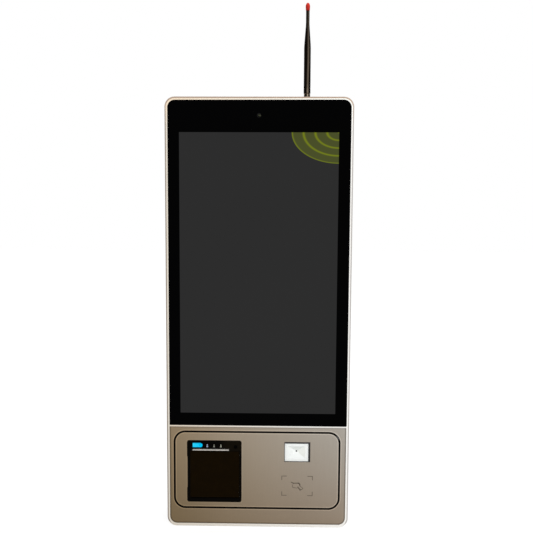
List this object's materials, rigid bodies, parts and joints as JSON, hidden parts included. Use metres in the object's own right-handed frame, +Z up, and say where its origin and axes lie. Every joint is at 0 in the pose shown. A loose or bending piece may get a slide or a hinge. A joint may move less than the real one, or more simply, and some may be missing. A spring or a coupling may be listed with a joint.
{
  "type": "self-service kiosk",
  "caption": "Wall-hung touch kiosk: glass-fronted portrait screen in a rounded frame, with a hinged fascia door that carries a receipt printer and a code scanner, and a stub antenna on top.",
  "frame": {"origin": "centre of the four wall bolts, in the plane of the housing's rear face", "axes": "+Z up, +Y backwards into the wall, the front faces -Y, +X to the viewer's right"},
  "size_m": [0.395, 0.099, 1.1376],
  "materials": {
    "frame_metal": "satin metallic paint",
    "fascia_metal": "satin metallic paint",
    "housing_steel": "fine texture powder coat",
    "black_glass": "polished, black from behind",
    "screen_body": "matte",
    "bare_steel": "plain sheet",
    "aluminium": "plain",
    "brass": "plain",
    "black_plastic": "fine grain",
    "printer_plastic": "semi gloss",
    "blue_plastic": "glossy",
    "clear_icon": "light guide",
    "white_plastic": "smooth",
    "grey_plastic": "fine grain",
    "red_plastic": "glossy",
    "rubber": "matte",
    "circuit_board": "solder mask",
    "paper": "plain",
    "cardboard": "plain"
  },
  "bodies": {
    "root": {"front_frame": "frame_metal", "cover_glass": "black_glass", "divider_trim": "frame_metal", "lower_fascia": "fascia_metal", "display_panel": "screen_body", "display_rails": "bare_steel", "camera_module": "black_plastic", "rear_housing": "housing_steel", "mounting_inserts": "brass", "housing_screws": "bare_steel", "main_board": "circuit_board", "heat_sink": "aluminium", "board_standoffs": "brass", "power_supply": "aluminium", "speakers": "black_plastic", "power_inlet": "black_plastic", "network_socket": "bare_steel", "usb_sockets": "bare_steel", "antenna_socket": "brass", "hinge_brackets": "bare_steel", "hinge_pins": "bare_steel", "lock_barrel": "bare_steel", "door_buffers": "rubber"},
    "rocker": {"power_rocker": "red_plastic"},
    "lock": {"lock_plug": "bare_steel", "lock_cam": "bare_steel"},
    "antenna_foot": {"antenna_base": "black_plastic", "antenna_hinge_pin": "bare_steel"},
    "antenna": {"antenna_whip": "black_plastic", "antenna_tip": "red_plastic"},
    "door": {"service_door": "fascia_metal", "door_hinge_leaves": "bare_steel", "door_strike": "bare_steel", "printer_bezel": "printer_plastic", "printer_chassis": "bare_steel", "paper_bucket": "black_plastic", "paper_web": "paper", "thermal_head": "aluminium", "feed_motor": "bare_steel", "key_board": "circuit_board", "status_lights": "clear_icon", "tear_bar": "bare_steel", "lid_hinge_pin": "bare_steel", "scanner_housing": "black_plastic", "scanner_reflector": "white_plastic", "scanner_engine": "black_plastic", "nfc_reader": "grey_plastic"},
    "lid": {"printer_lid": "printer_plastic"},
    "platen": {"platen_roller": "rubber", "platen_shaft": "bare_steel", "platen_gear": "white_plastic"},
    "pinion": {"motor_pinion": "brass"},
    "roll": {"paper_roll": "paper", "roll_core": "cardboard"},
    "button": {"release_button": "blue_plastic", "release_spring": "bare_steel"},
    "latch": {"lid_latch": "bare_steel"},
    "key": {"feed_key": "printer_plastic"}
  },
  "joints": [
    {"name": "door_hinge", "type": "hinge", "parent": "root", "child": "door", "pos_m": [-0.00185, -0.0888, -0.4057], "axis": [1, 0, 0], "range_deg": [0, 80]},
    {"name": "lid_hinge", "type": "hinge", "parent": "door", "child": "lid", "pos_m": [-0.093, -0.0935, -0.395], "axis": [1, 0, 0], "range_deg": [0, 88]},
    {"name": "roll_spin", "type": "hinge", "parent": "door", "child": "roll", "pos_m": [-0.1028, -0.0537, -0.3693], "axis": [1, 0, 0], "continuous": true},
    {"name": "platen_spin", "type": "hinge", "parent": "lid", "child": "platen", "pos_m": [-0.1028, -0.08, -0.306], "axis": [1, 0, 0], "continuous": true},
    {"name": "pinion_spin", "type": "hinge", "parent": "door", "child": "pinion", "pos_m": [-0.0565, -0.0663, -0.306], "axis": [1, 0, 0], "continuous": true},
    {"name": "release_button_press", "type": "slide", "parent": "door", "child": "button", "axis": [0, 1, 0], "range_m": [0, 0.0025], "stiffness_N_per_m": 300, "springref_m": -0.002},
    {"name": "lid_latch_pivot", "type": "hinge", "parent": "door", "child": "latch", "pos_m": [-0.1451, -0.079, -0.28785], "axis": [1, 0, 0], "range_deg": [-20, 0]},
    {"name": "feed_key_press", "type": "slide", "parent": "door", "child": "key", "axis": [0, 1, 0], "range_m": [0, 0.0006], "stiffness_N_per_m": 1200, "springref_m": -0.0005},
    {"name": "door_lock_turn", "type": "hinge", "parent": "root", "child": "lock", "pos_m": [0.18, -0.057, -0.273], "axis": [1, 0, 0], "range_deg": [0, 90]},
    {"name": "power_rocker_tip", "type": "hinge", "parent": "root", "child": "rocker", "pos_m": [-0.1045, -0.024, -0.4533], "axis": [1, 0, 0], "range_deg": [-16, 0]},
    {"name": "antenna_swivel", "type": "hinge", "parent": "root", "child": "antenna_foot", "pos_m": [0.1025, -0.035, 0.462], "axis": [0, 0, 1], "range_deg": [-180, 180]},
    {"name": "antenna_tilt", "type": "hinge", "parent": "antenna_foot", "child": "antenna", "pos_m": [0.1025, -0.035, 0.475], "axis": [0, 1, 0], "range_deg": [0, 90]}
  ],
  "couplings": [
    {"joint": "platen_spin", "follows": "roll_spin", "ratio": 4.6154},
    {"joint": "pinion_spin", "follows": "roll_spin", "ratio": -6.5934},
    {"joint": "lid_latch_pivot", "follows": "release_button_press", "rad_per_m": -126.6}
  ]
}
